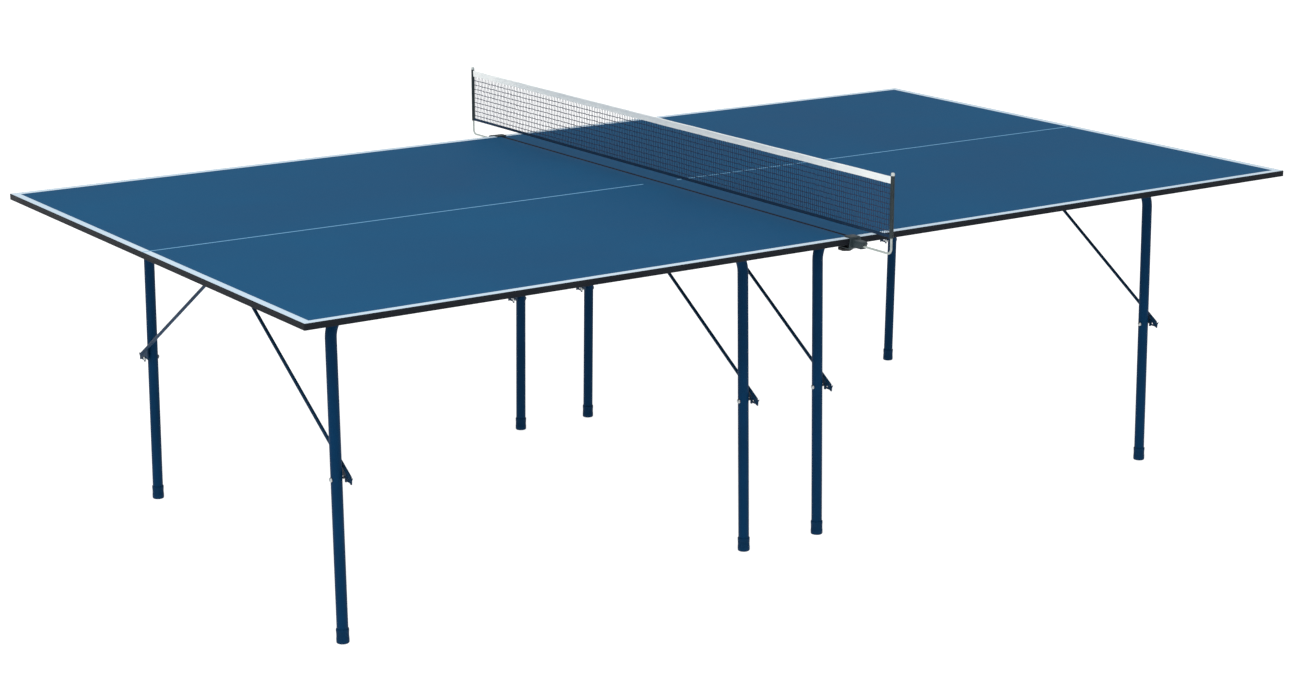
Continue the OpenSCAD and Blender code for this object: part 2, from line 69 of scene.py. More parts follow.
def put(tree, kind, settings=(), **sockets):
    """A node of that kind. Each socket takes a plain value or another node's output, and is called
    by its name or, as i0, i1 and so on, by its place."""
    made = tree.nodes.new("ShaderNode" + kind)
    for name, value in dict(settings).items():
        setattr(made, name, value)
    for name, value in sockets.items():
        socket = made.inputs[int(name[1:]) if name[1:].isdigit() else name.replace("_", " ")]
        if isinstance(value, bpy.types.NodeSocket):
            tree.links.new(value, socket)
        else:
            socket.default_value = value
    return made


bpy.context.scene.view_settings.view_transform = "Standard"
sky = bpy.data.worlds.new("sky")
sky.use_nodes = True
bpy.context.scene.world = sky
tree = sky.node_tree
tree.nodes.clear()
upward = put(tree, "SeparateXYZ", Vector=put(tree, "TexCoord").outputs["Generated"])
height = put(tree, "MapRange", i0=upward.outputs["Z"], i3=level_light,
             i4=overhead_light)
unseen = put(tree, "Background", Color=(0.93, 0.97, 1.0, 1.0), Strength=height.outputs[0])
seen = put(tree, "Background", Color=WHITE, Strength=1.0)
by_camera = put(tree, "LightPath").outputs["Is Camera Ray"]
both = put(tree, "MixShader", i0=by_camera, i1=unseen.outputs[0], i2=seen.outputs[0])
put(tree, "OutputWorld", Surface=both.outputs[0])

lamp = bpy.data.objects.new("lamp", bpy.data.lights.new("lamp", "AREA"))
bpy.context.scene.collection.objects.link(lamp)
lamp.data.energy = 160
lamp.data.size = 4
lamp.location = (-5.5, -3.5, 4.5)
lamp.rotation_euler = (math.radians(52), 0, math.radians(-57))

floor_mesh = bpy.data.meshes.new("floor")
corners = [(-floor_side, -floor_side, 0), (floor_side, -floor_side, 0), (floor_side, floor_side, 0),
           (-floor_side, floor_side, 0)]
floor_mesh.from_pydata(corners, [], [(0, 1, 2, 3)])
floor = bpy.data.objects.new("floor", floor_mesh)
bpy.context.scene.collection.objects.link(floor)
paper = bpy.data.materials.new("paper")
paper.use_nodes = True
tree = paper.node_tree
tree.nodes.clear()
glow = put(tree, "Emission", Color=WHITE, Strength=floor_glow)
dull = put(tree, "BsdfDiffuse", Color=(floor_grey, floor_grey, floor_grey, 1.0))
both = put(tree, "AddShader", i0=glow.outputs[0], i1=dull.outputs[0])
put(tree, "OutputMaterial", Surface=both.outputs[0])
floor_mesh.materials.append(paper)

# The two boards are 14 mm chipboard, rolled with matt blue paint. White lines are printed along the
# outer edges, and a thin pale line down the middle stops short of the net. A navy strip of painted
# shade darkens each board beside the gap under the net, and the underside is sealed.


def colour(red, green, blue):
    """A colour given in the 0 to 255 steps of a paint card, made linear for the shader."""
    steps = np.array([red, green, blue]) / 255
    linear = np.where(steps <= 0.04045, steps / 12.92, ((steps + 0.055) / 1.055) ** 2.4)
    return (*[float(x) for x in linear], 1.0)


def mix(tree, share, first, second):
    """Colour that goes from the first to the second as the share rises from 0 to 1."""
    made = put(tree, "Mix", {"data_type": "RGBA"}, i0=share, i6=first, i7=second)
    return made.outputs[2]


def maths(tree, operation, first, second=0.0):
    """Output of one sum on numbers."""
    return put(tree, "Math", {"operation": operation}, i0=first, i1=second).outputs[0]


# Every finish on the table has the same three faults in its own measure: a fine grain, soft clouds
# of uneven colour, and specks of dust. Specks come only in some patches.
cloud_from, cloud_to = 0.32, 0.68
speck_size, patch_scale, patch_from = 0.12, 40.0, 0.58
dust_grey = colour(150, 155, 160)
faults = bpy.data.node_groups.new("surface_faults", "ShaderNodeTree")
for name, usual in (("Grain scale", 1200.0), ("Cloud scale", 6.0), ("Speck scale", 260.0)):
    socket = faults.interface.new_socket(name, in_out="INPUT", socket_type="NodeSocketFloat")
    socket.default_value = usual
for name in ("Grain", "Clouds", "Specks"):
    faults.interface.new_socket(name, in_out="OUTPUT", socket_type="NodeSocketFloat")
given = faults.nodes.new("NodeGroupInput").outputs
place = put(faults, "TexCoord").outputs["Object"]
grain = put(faults, "TexNoise", Vector=place, Scale=given["Grain scale"], Detail=2.0).outputs[0]
clouds = put(faults, "TexNoise", Vector=place, Scale=given["Cloud scale"], Detail=5.0, Roughness=0.6)
clouds = put(faults, "MapRange", i0=clouds.outputs[0], i1=cloud_from, i2=cloud_to).outputs[0]
specks = put(faults, "TexVoronoi", Vector=place, Scale=given["Speck scale"]).outputs["Distance"]
patches = put(faults, "TexNoise", Vector=place, Scale=patch_scale, Detail=3.0).outputs[0]
specks = maths(faults, "LESS_THAN", specks, speck_size)
specks = maths(faults, "MULTIPLY", specks, maths(faults, "GREATER_THAN", patches, patch_from))
out = faults.nodes.new("NodeGroupOutput").inputs
for name, made in (("Grain", grain), ("Clouds", clouds), ("Specks", specks)):
    faults.links.new(made, out[name])


def finish(name, base, shade, rough, spread=0.08, grain=1200.0, cloud=6.0, relief=0.00002, dust=0.25,
           **uniform):
    """One finish: base colour drifting to shade in clouds, dusted in specks, its roughness spread
    about the middle value, and a fine grain in relief. Uniform values go straight to the shader."""
    made = bpy.data.materials.new(name)
    made.use_nodes = True
    tree = made.node_tree
    tree.nodes.clear()
    group = put(tree, "Group", {"node_tree": faults}, Grain_scale=grain, Cloud_scale=cloud).outputs
    tint = mix(tree, group["Clouds"], base, shade)
    dusted = mix(tree, maths(tree, "MULTIPLY", group["Specks"], dust), tint, dust_grey)
    worn = put(tree, "MapRange", i0=group["Clouds"], i3=rough - spread, i4=rough + spread).outputs[0]
    rougher = maths(tree, "ADD", worn, maths(tree, "MULTIPLY", group["Specks"], dust))
    bump = put(tree, "Bump", Height=group["Grain"], Distance=relief, Strength=1.0)
    shader = put(tree, "BsdfPrincipled", Base_Color=dusted, Roughness=rougher,
                 Normal=bump.outputs[0], **uniform)
    put(tree, "OutputMaterial", Surface=shader.outputs[0])
    return made


def dress(node, material):
    """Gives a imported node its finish."""
    mesh = frame["nodes"][node].data
    mesh.materials.clear()
    mesh.materials.append(material)


HALVES = ("a", "b")
SIDES = {"near": -1, "far": 1}
board_low, board_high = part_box("edge_band_a")
board_low.x, board_high.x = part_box("edge_band_a")[0].x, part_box("edge_band_b")[1].x
under_z, top_z = board_low.z, board_high.z
edge_x, edge_y = board_high.x, board_high.y
line_w = 0.020
centre_line_w = 0.005
centre_line_from_net = 0.050
# Half width, from the middle of the table, that the painted shade beside the gap reaches.
gap_shade_half_w = 0.0058
paint_depth = 0.0005
flake_scale = 140.0

paint = finish("blue_board", colour(24, 78, 116), colour(27, 85, 123), 0.55, spread=0.04, grain=900.0,
               cloud=1.6, relief=0.000012, dust=0.03, Specular_IOR_Level=0.02)
tree = paint.node_tree
place = put(tree, "SeparateXYZ", Vector=put(tree, "TexCoord").outputs["Object"]).outputs
along = maths(tree, "ABSOLUTE", place["X"])
across = maths(tree, "ABSOLUTE", place["Y"])
ends = maths(tree, "GREATER_THAN", along, edge_x - line_w)
sides = maths(tree, "GREATER_THAN", across, edge_y - line_w)
border = maths(tree, "MAXIMUM", ends, sides)
middle = maths(tree, "LESS_THAN", across, centre_line_w / 2)
middle = maths(tree, "MULTIPLY", middle, maths(tree, "GREATER_THAN", along, centre_line_from_net))
shader = next(n for n in tree.nodes if n.type == "BSDF_PRINCIPLED")
blue = shader.inputs["Base Color"].links[0].from_socket
cloud = next(n for n in tree.nodes if n.type == "GROUP").outputs["Clouds"]
white = mix(tree, cloud, colour(214, 228, 238), colour(200, 218, 232))
lined = mix(tree, border, blue, white)
lined = mix(tree, middle, lined, colour(122, 176, 212))
# Painted shade: a navy strip on each board next to the gap under the net, where shade falls between the
# halves.
gap_shade = maths(tree, "LESS_THAN", along, gap_shade_half_w)
lined = mix(tree, gap_shade, lined, colour(12, 42, 78))
flake = put(tree, "TexVoronoi", Vector=put(tree, "TexCoord").outputs["Object"], Scale=flake_scale)
sealed = mix(tree, flake.outputs["Distance"], colour(38, 46, 54), colour(58, 64, 68))
on_top = maths(tree, "GREATER_THAN", place["Z"], top_z - paint_depth)
tree.links.new(mix(tree, on_top, sealed, lined), shader.inputs["Base Color"])
for half in HALVES:
    dress("top_panel_" + half, paint)

# A black plastic band is glued round each board. It is extruded with rounded edges and two shallow
# grooves, and mitred and rounded at the corners.


def skin(name, shapes, material, body, crease=40):
    """One mesh from shapes, each a tuple of points (n, 3), four-sided faces (m, 4) and end rings."""
    points, faces, start = [], [], 0
    for spots, quads, rings in shapes:
        points.append(np.asarray(spots, float))
        faces += (quads + start).tolist() + [(ring + start).tolist() for ring in rings]
        start += len(spots)
    mesh = bpy.data.meshes.new(name)
    mesh.from_pydata(np.concatenate(points).tolist(), [], faces)
    mesh.shade_smooth()
    mesh.set_sharp_from_angle(angle=math.radians(crease))
    mesh.materials.append(material)
    made = bpy.data.objects.new(name, mesh)
    bpy.context.scene.collection.objects.link(made)
    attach(made, body)
    return made


def weave(grid, closed):
    """Shape from a grid of points (rows, columns, 3): its columns close on themselves, and its rows
    either close too or end in a flat ring. Columns turn right-handed about the way the rows go."""
    rows, columns = grid.shape[:2]
    index = np.arange(rows * columns).reshape(rows, columns)
    first = index if closed else index[:-1]
    second = np.roll(index, -1, axis=0) if closed else index[1:]
    quads = np.stack([first, np.roll(first, -1, 1), np.roll(second, -1, 1), second], -1).reshape(-1, 4)
    rings = [] if closed else [index[0][::-1], index[-1]]
    return grid.reshape(-1, 3), quads, rings


def arc(centre, radius, start, end, count=9):
    """Points of a flat arc, angles in degrees."""
    turn = np.radians(np.linspace(start, end, count))
    return np.stack([centre[0] + radius * np.cos(turn), centre[1] + radius * np.sin(turn)], -1)


band_t = 0.002
band_round = 0.0007
corner_r, corner_steps = 0.0025, 9
groove_depth, groove_from_middle, groove_width = 0.00022, 0.0022, 1.2e-11
groove_margin = 0.0015
band_plastic = finish("black_band", colour(24, 27, 33), colour(33, 36, 41), 0.5, grain=2600.0,
                      cloud=9.0, relief=0.000015, dust=0.08, Specular_IOR_Level=0.05)
board_t = top_z - under_z
z = np.linspace(groove_margin, board_t - groove_margin, 45)
from_groove = (z - board_t / 2) ** 2 - groove_from_middle ** 2
grooves = np.stack([groove_depth * np.exp(-from_groove ** 2 / groove_width), z], -1)
section = np.concatenate([
    [(band_t, 0)], arc((band_round, band_round), -band_round, 90, 0, 5), grooves,
    arc((band_round, board_t - band_round), -band_round, 0, -90, 5), [(band_t, board_t)]])[::-1]
depth, z = section[:, 0], section[:, 1]
for half in HALVES:
    low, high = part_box("edge_band_" + half)
    corners = [((high.x - corner_r, high.y - corner_r), 0), ((low.x + corner_r, high.y - corner_r), 90),
               ((low.x + corner_r, low.y + corner_r), 180), ((high.x - corner_r, low.y + corner_r), 270)]
    centres = np.concatenate([np.tile(centre, (corner_steps, 1)) for centre, start in corners])
    facing = np.concatenate([arc((0, 0), 1, start, start + 90, corner_steps) for centre, start in corners])
    flat = centres[:, None] + facing[:, None] * (corner_r - depth)[None, :, None]
    heights = np.broadcast_to(under_z + z[None, :, None], (*flat.shape[:2], 1))
    grid = np.concatenate([flat, heights], -1)
    band = skin("band_" + half, [weave(grid, True)], band_plastic, "table", crease=60)
    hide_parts("edge_band_" + half)

# Each half stands on two frames of 25 mm steel tube, one along each long side. A frame is a single
# tube bent at two corners, the bends a little flattened, and powder-coated navy.


def carried(path, across, wide, thick=None, power=2.0, sides=32):
    """A section carried along a path. Each section is |a / wide|^power + |b / thick|^power = 1, with
    a measured along the across direction, and b square to it and to the path."""
    path = np.asarray(path, float)
    rows = len(path)
    ahead = np.gradient(path, axis=0)
    ahead /= np.linalg.norm(ahead, axis=1)[:, None]
    side = np.asarray(across, float) - ahead * (ahead @ np.asarray(across, float))[:, None]
    side /= np.linalg.norm(side, axis=1)[:, None]
    up = np.cross(ahead, side)
    turn = np.linspace(0, 2 * math.pi, sides, endpoint=False)
    share = 2 / np.broadcast_to(power, rows)[:, None]
    a = np.sign(np.cos(turn)) * np.abs(np.cos(turn)) ** share * np.broadcast_to(wide, rows)[:, None]
    thick = wide if thick is None else thick
    b = np.sign(np.sin(turn)) * np.abs(np.sin(turn)) ** share * np.broadcast_to(thick, rows)[:, None]
    return weave(path[:, None] + side[:, None] * a[..., None] + up[:, None] * b[..., None], False)


axis_r = 0.0002


def turned(profile, origin, axis, sides=32, lobes=0.0):
    """A profile of (radius, height) points turned about an axis that starts at the origin. A closed
    end stops at a ring of radius axis_r. Lobes are a share by which the radius rises and falls
    round the turn."""
    profile = np.asarray(profile, float)
    axis = np.asarray(axis, float) / np.linalg.norm(axis)
    side = np.cross(axis, (0, 0, 1) if abs(axis[2]) < 0.9 else (1, 0, 0))
    side /= np.linalg.norm(side)
    turn = np.linspace(0, 2 * math.pi, sides, endpoint=False)[:, None]
    out = side * np.cos(turn) + np.cross(axis, side) * np.sin(turn)
    radius = profile[:, 0][:, None] * (1 + np.broadcast_to(lobes, (len(profile), sides)))
    grid = np.asarray(origin, float) + radius[..., None] * out + (profile[:, 1][:, None] * axis)[:, None]
    return weave(grid, False)


tube_r = 0.0125
bend_r = 0.072
bend_steps, leg_steps, leg_from_bend = 25, 12, 0.010
splay = 0.015
cap_floor = 0.005
flattening = 0.03
navy = finish("navy_powder_coat", colour(1, 49, 84), colour(1, 44, 75), 0.45, grain=1500.0, cloud=7.0,
              relief=0.00002, dust=0.02, Specular_IOR_Level=0.05)
folds = {j["child"]: j for j in frame["joints"]}
for half in HALVES:
    for side, sign in SIDES.items():
        body = f"frame_{half}_{side}"
        bar = np.array(folds[body]["pos_m"])
        low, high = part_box("leg_frame_" + half + "_" + side)
        reach = (high.x - low.x) / 2 - tube_r
        lean = math.atan(splay / bar[2])
        down = np.array([0, sign * math.sin(lean), -math.cos(lean)])
        leg_l = bar[2] / math.cos(lean)
        bend = arc((reach - bend_r, bend_r), bend_r, -90, 0, bend_steps)
        leg = np.linspace(bend_r + leg_from_bend, leg_l - cap_floor, leg_steps)
        half_path = np.concatenate([[(0, 0)], bend, np.stack([np.full(leg_steps, reach), leg], -1)])
        flat = np.concatenate([half_path[:0:-1] * (-1, 1), half_path])
        path = bar + flat[:, :1] * np.array([1, 0, 0]) + flat[:, 1:] * down
        bent = np.interp(np.abs(flat[:, 0]), (reach - bend_r, reach - bend_r / 2, reach), (0, 1, 0))
        shape = carried(path, np.cross((1, 0, 0), down), tube_r * (1 + flattening / 2 * bent),
                        tube_r * (1 - flattening * bent), sides=48)
        tube = skin("tube_" + half + "_" + side, [shape], navy, body)
        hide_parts("leg_frame_" + half + "_" + side)

# A soft plastic cap is pushed over the end of each leg. It is moulded in nearly the paint's navy,
# with five shallow grip grooves, a rounded rim and a floor that wears flat on the ground.
cap_r = tube_r + 0.00165
cap_round = 0.004
cap_h = 0.032
worn_off, rim_round = 0.001, 0.001
waist, grip_count, grip_depth, grip_sharpness = 0.0004, 5, 0.0005, 40
grip_from, grip_to = 0.010, 0.026
cap_rubber = finish("cap_plastic", colour(3, 48, 81), colour(3, 43, 73), 0.5, grain=2200.0, cloud=30.0,
                    relief=0.00002, dust=0.06, Specular_IOR_Level=0.06)
rise = np.linspace(0, 1, 41)
grip = grip_depth * np.exp(-((rise * grip_count) % 1 - 0.5) ** 2 * grip_sharpness)
wall = np.stack([cap_r - waist * np.sin(math.pi * rise) - grip, np.linspace(grip_from, grip_to, 41)], -1)
cap_profile = np.concatenate([
    [(axis_r, -worn_off)], arc((cap_r - cap_round, cap_round - worn_off), cap_round, -90, 0, 9), wall,
    arc((cap_r - rim_round, cap_h - rim_round), rim_round, 0, 90, 4),
    [(tube_r, cap_h), (tube_r, cap_floor), (axis_r, cap_floor)]])
for half in HALVES:
    for side, sign in SIDES.items():
        body = f"frame_{half}_{side}"
        bar = np.array(folds[body]["pos_m"])
        low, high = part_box("leg_frame_" + half + "_" + side)
        reach = (high.x - low.x) / 2 - tube_r
        up = np.array([0, -sign * splay, bar[2]])
        caps = [turned(cap_profile, bar + (s * reach, 0, 0) - up, up, 48) for s in (-1, 1)]
        for spots, quads, rings in caps:
            spots[:, 2] = np.maximum(spots[:, 2], 0)
        made = skin("caps_" + half + "_" + side, caps, cap_rubber, body)
        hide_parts("foot_caps_" + half + "_" + side)

# A zinc-plated shoulder pin goes through each leg. Its domed head sits against the tube, and a
# collar on the far end keeps the latch plate on.
zinc = finish("zinc_plate", colour(196, 199, 198), colour(160, 166, 168), 0.32, spread=0.1, grain=700.0,
              cloud=220.0, relief=0.00001, dust=0.3, Metallic=1.0)
pin_r = 0.003
collar_r, collar_to, collar_from = 0.0045, -0.0215, -0.0230
head_r, head_h = 0.0055, 0.0040
chamfer = 0.0004
pin_profile = [(axis_r, collar_from), (0.0040, collar_from), (collar_r, collar_from + chamfer),
               (collar_r, collar_to - chamfer), (0.0041, collar_to), (pin_r, collar_to),
               (pin_r, tube_r), (0.0051, tube_r), (head_r, tube_r + chamfer), (0.0054, tube_r + 0.0011),
               (0.0047, tube_r + 0.0024), (0.0034, tube_r + 0.0034), (0.0018, tube_r + 0.0039),
               (axis_r, tube_r + head_h)]
for half in HALVES:
    for side, sign in SIDES.items():
        node = "latch_pins_" + half + "_" + side
        low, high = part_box(node)
        tube_low, tube_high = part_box("leg_frame_" + half + "_" + side)
        pins = [turned(pin_profile, (x, (low.y + high.y) / 2, (low.z + high.z) / 2), (sign, 0, 0))
                for x in (tube_low.x + tube_r, tube_high.x - tube_r)]
        made = skin("pins_" + half + "_" + side, pins, zinc, f"frame_{half}_{side}")
        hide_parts(node)

# Pressed zinc saddles hold each frame's bar under the board, so that it can turn, and flat zinc
# clips hook the two halves together over headed studs.
for half in HALVES:
    dress("bar_saddles_" + half, zinc)
for node in ("joining_clips", "joining_studs"):
    dress(node, zinc)

# Pan-head screws hold the saddles, brackets and clips to the underside.
for half in HALVES:
    dress("wood_screws_" + half, zinc)

# Each leg has a stay, a rod flattened into an eye that swings on a rivet between the two ears of
# a bracket under the middle of the board. A hooked latch plate is welded to its lower end.
stay_r = 0.004
eye_r, eye_half_t, eye_power, rod_power = 0.008, 0.002, 6, 2
eye_to, neck_from, neck_to, neck_half_h = 0.0052, 0.0065, 0.020, 0.00608
ease_from, ease_l = 0.004, 0.014
rod_from, rod_margin = 0.06, 0.01
tiny = 1e-9
stay_paint = finish("stay_powder_coat", colour(14, 50, 78), colour(12, 44, 70), 0.45, grain=1700.0,
                    cloud=11.0, relief=0.000012, dust=0.04, Specular_IOR_Level=0.12)
for half in HALVES:
    dress("stay_brackets_" + half, stay_paint)
    dress("stay_rivets_" + half, zinc)
    for side, sign in SIDES.items():
        for leg in ("end", "net"):
            corner = f"{half}_{side}_{leg}"
            body = "stay_" + corner
            pivot = np.array(folds[body]["pos_m"])
            low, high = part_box(body)
            foot_y = high.y - stay_r if sign > 0 else low.y + stay_r
            foot = np.array([pivot[0], foot_y, low.z + stay_r])
            length = np.linalg.norm(foot - pivot)
            ahead = (foot - pivot) / length
            eye_t = -eye_r * np.cos(np.radians(np.linspace(1, 130, 24)))
            neck_t = np.linspace(neck_from, neck_to, 10)
            rod_t = np.linspace(rod_from, length - rod_margin, 8)
            tip_t = length + stay_r * np.sin(np.radians(np.linspace(0, 89, 9)))
            t = np.concatenate([eye_t, neck_t, rod_t, tip_t])
            ease = np.clip((t - ease_from) / ease_l, 0, 1)
            ease = ease * ease * (3 - 2 * ease)
            tip = np.sqrt(np.maximum(stay_r ** 2 - (t - length) ** 2, tiny))
            eye = np.sqrt(np.maximum(eye_r ** 2 - t ** 2, tiny))
            tall = np.where(t < eye_to, eye, stay_r + (neck_half_h - stay_r) * (1 - ease))
            tall = np.where(t > length, tip, tall)
            wide = np.where(t > length, tip, eye_half_t + (stay_r - eye_half_t) * ease)
            power = eye_power - (eye_power - rod_power) * ease
            shape = carried(pivot + t[:, None] * ahead, (1, 0, 0), wide, tall, power)
            rod = skin(body + "_rod", [shape], stay_paint, body)
            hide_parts(body)
            dress("latch_" + corner, stay_paint)

# A steel clamp grips the table's edge at each end of the net. It is one strip folded into a C,
# enamelled dark grey, with a block outside that takes the post's arm. Both tips are rounded.
clamp_t, edge_gap = 0.003, 0.0004
clamp_half_w, jaw_half_w = 0.018, 0.014
jaw_l, fold_r, lip_from_fold = 0.023, 0.0023, 0.004
jaw_tip_l, lip_tip_l, widening_l = 0.004, 0.006, 0.006
tip_inset, tip_w, tip_first = 0.0002, 0.6, 0.02
block_half_w, block_half_h = 0.010, 0.009
wire_r = 0.0025
enamel = finish("clamp_enamel", colour(50, 62, 66), colour(42, 52, 56), 0.42, grain=1400.0, cloud=40.0,
                relief=0.00004, dust=0.2, Specular_IOR_Level=0.2)
for side, sign in SIDES.items():
    low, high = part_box("net_clamp_" + side)
    outward = max(abs(low.y), abs(high.y))
    back = edge_y + edge_gap + clamp_t / 2
    jaw_z, lip_z = high.z - clamp_t / 2, low.z + clamp_t / 2
    jaw_y, lip_y = edge_y - jaw_l, min(abs(low.y), abs(high.y))
    flat = np.concatenate([
        np.stack([np.linspace(jaw_y + tip_inset, back - fold_r, 12), np.full(12, jaw_z)], -1),
        arc((back - fold_r, jaw_z - fold_r), fold_r, 90, 0, 8),
        arc((back - fold_r, lip_z + fold_r), fold_r, 0, -90, 8),
        np.stack([np.linspace(back - fold_r - lip_from_fold, lip_y + tip_inset, 14), np.full(14, lip_z)],
                 -1)])
    from_jaw = np.clip((flat[:, 0] - jaw_y) / jaw_tip_l, tip_first, 1) * (flat[:, 1] > top_z)
    from_lip = np.clip((flat[:, 0] - lip_y) / lip_tip_l, tip_first, 1)
    jaw_w = jaw_half_w * (tip_w + (1 - tip_w) * np.sqrt(1 - (1 - from_jaw) ** 2))
    lip_w = clamp_half_w * (tip_w + (1 - tip_w) * np.sqrt(1 - (1 - from_lip) ** 2))
    wide = np.where(flat[:, 1] > top_z, jaw_w, lip_w)
    down = np.clip((jaw_z - flat[:, 1]) / widening_l, 0, 1)
    back_w = jaw_half_w + (clamp_half_w - jaw_half_w) * down ** 2 * (3 - 2 * down)
    wide = np.where(np.abs(flat[:, 0] - back) < fold_r + 1e-6, back_w, wide)
    path = np.stack([np.zeros(len(flat)), sign * flat[:, 0], flat[:, 1]], -1)
    strip = carried(path, (1, 0, 0), wide, clamp_t / 2, 7.0, 48)
    arm_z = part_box("net_post_" + side)[0].z + wire_r
    y = np.array([back, back + 0.002, outward - 0.012, outward - 0.0032, outward - 0.0025,
                  outward - 0.0012, outward - 0.0004, outward])
    shrink = np.array([1, 1, 1, 0.94, 0.93, 0.89, 0.83, 0.76])
    path = np.stack([np.zeros(8), sign * y, arm_z + wire_r * shrink ** 2], -1)
    block = carried(path, (1, 0, 0), block_half_w * shrink, block_half_h * shrink, 6.0, 48)
    made = skin("clamp_" + side, [strip, block], enamel, "table")
    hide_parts("net_clamp_" + side)

# Under each clamp a black star knob turns a threaded rod, which presses a rubber pad up against
# the underside of the board.
thread_r, thread_depth, thread_pitch = 0.0040, 0.0005, 0.00125
rod_first_r, rod_tip_r, rod_tip_inset = 0.0034, 0.0030, 0.0005
knob_r, knob_h, knob_round, hub_r = 0.017, 0.008, 0.003, 0.0085
lobes, lobe_depth, lobe_sharpness = 6, 0.17, 1.5
rib_from, rib_step, rib_turn, rib_depth = 0.0035, 0.0002, 1.1, 0.0004
knob_black = finish("knob_plastic", colour(22, 23, 25), colour(30, 31, 33), 0.45, grain=1800.0, cloud=60.0,
                    relief=0.00004, dust=0.25, Specular_IOR_Level=0.25)
rubber = finish("pad_rubber", colour(28, 29, 31), colour(38, 39, 41), 0.8, grain=1600.0, cloud=80.0,
                relief=0.00006, dust=0.8, Specular_IOR_Level=0.2)
for side, sign in SIDES.items():
    low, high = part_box("clamp_pad_" + side)
    middle_y = (low.y + high.y) / 2
    pad_r, pad_t = (high.x - low.x) / 2, high.z - low.z
    ribs = [(rib_from + rib_step * i, pad_t - rib_depth * (0.5 - 0.5 * math.cos(i * rib_turn)))
            for i in range(32, -1, -1)]
    profile = [(axis_r, 0.0004), (pad_r - 0.0012, 0), (pad_r - 0.0004, 0.0003), (pad_r, 0.0012),
               (pad_r - 0.0003, pad_t - 0.0008), (pad_r - 0.0010, pad_t), *ribs,
               (axis_r, pad_t - rib_depth)]
    disc = turned(profile, (0, middle_y, low.z), (0, 0, 1), 48)
    pad = skin("pad_" + side + "_disc", [disc], rubber, "pad_" + side)
    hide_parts("clamp_pad_" + side)
    low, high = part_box("clamp_screw_" + side)
    dimple = [(axis_r, 0.0004), (0.0060, 0.0002), (hub_r, 0), (knob_r - knob_round, 0)]
    rim = arc((knob_r - knob_round, knob_round), knob_round, -80, 0, 7)
    shoulder = arc((knob_r - knob_round, knob_h - knob_round), knob_round, 0, 80, 7)
    hub = [(hub_r, knob_h), (0.0075, knob_h), (0.0070, knob_h + 0.0005), (0.0042, knob_h + 0.0007),
           (axis_r, knob_h + 0.0007)]
    profile = np.concatenate([dimple, rim, shoulder, hub])
    turn = np.linspace(0, 2 * math.pi, 96, endpoint=False)
    hollow = 0.5 - 0.5 * np.cos(lobes * turn)
    hold = np.clip((profile[:, 0] - hub_r) / (knob_r - hub_r), 0, 1)[:, None]
    lobed = -lobe_depth * hold * hollow ** lobe_sharpness
    knob = turned(profile, (0, middle_y, low.z), (0, 0, 1), 96, lobed)
    rise = np.arange(low.z + knob_h, high.z - rod_tip_inset, thread_pitch / 8)
    turn = np.linspace(0, 1, 32, endpoint=False)
    wave = np.abs(((rise[:, None] / thread_pitch - turn) % 1) * 2 - 1)
    radius = thread_r - thread_depth * wave
    radius[0], radius[-1] = rod_first_r, rod_tip_r
    angle = 2 * math.pi * turn
    grid = np.stack([radius * np.cos(angle), middle_y + radius * np.sin(angle),
                     np.broadcast_to(rise[:, None], radius.shape)], -1)
    made = skin("knob_" + side, [knob], knob_black, "screw_" + side)
    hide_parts("clamp_screw_" + side)
    skin("screw_rod_" + side, [weave(grid, False)], zinc, "screw_" + side, crease=70)

# The posts are one bent 5 mm wire each, painted pale grey: an arm out of the clamp, a bend and an
# upright, with a small moulded cap on top.
post_bend_r, arm_l, upright_from = 0.012, 0.030, 0.030
top_foot_round, top_round = 0.0006, 0.0028
wire_paint = finish("wire_paint", colour(176, 184, 178), colour(160, 168, 163), 0.35, grain=1500.0,
                    cloud=25.0, relief=0.00003, dust=0.3, Specular_IOR_Level=0.5)
cap_grey = finish("post_cap_plastic", colour(198, 204, 200), colour(184, 190, 187), 0.45, grain=2000.0,
                  cloud=50.0, relief=0.00002, dust=0.3, Specular_IOR_Level=0.4)
for side, sign in SIDES.items():
    low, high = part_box("net_post_" + side)
    post_y = max(abs(low.y), abs(high.y)) - wire_r
    arm_y, arm_z = min(abs(low.y), abs(high.y)), low.z + wire_r
    corner = arc((post_y - post_bend_r, arm_z + post_bend_r), post_bend_r, -90, 0, 17)
    upright = np.stack([np.full(8, post_y), np.linspace(arm_z + upright_from, high.z, 8)], -1)
    flat = np.concatenate([[(arm_y, arm_z), (arm_y + arm_l, arm_z)], corner, upright])
    path = np.stack([np.zeros(len(flat)), sign * flat[:, 0], flat[:, 1]], -1)
    made = skin("post_" + side, [carried(path, (1, 0, 0), wire_r, sides=24)], wire_paint, "table")
    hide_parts("net_post_" + side)
    low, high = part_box("post_cap_" + side)
    top_h, top_wide_r = high.z - low.z, (high.y - low.y) / 2
    foot = arc((top_wide_r - top_foot_round, top_foot_round), top_foot_round, -90, 0, 4)
    crown = arc((top_wide_r - top_round, top_h - top_round), top_round, 0, 86, 9)
    profile = np.concatenate([[(wire_r, 0), (top_wide_r - top_foot_round, 0)], foot, crown,
                              [(axis_r, top_h)]])
    shape = turned(profile, (0, sign * post_y, low.z), (0, 0, 1))
    made = skin("post_top_" + side, [shape], cap_grey, "table")
    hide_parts("post_cap_" + side)

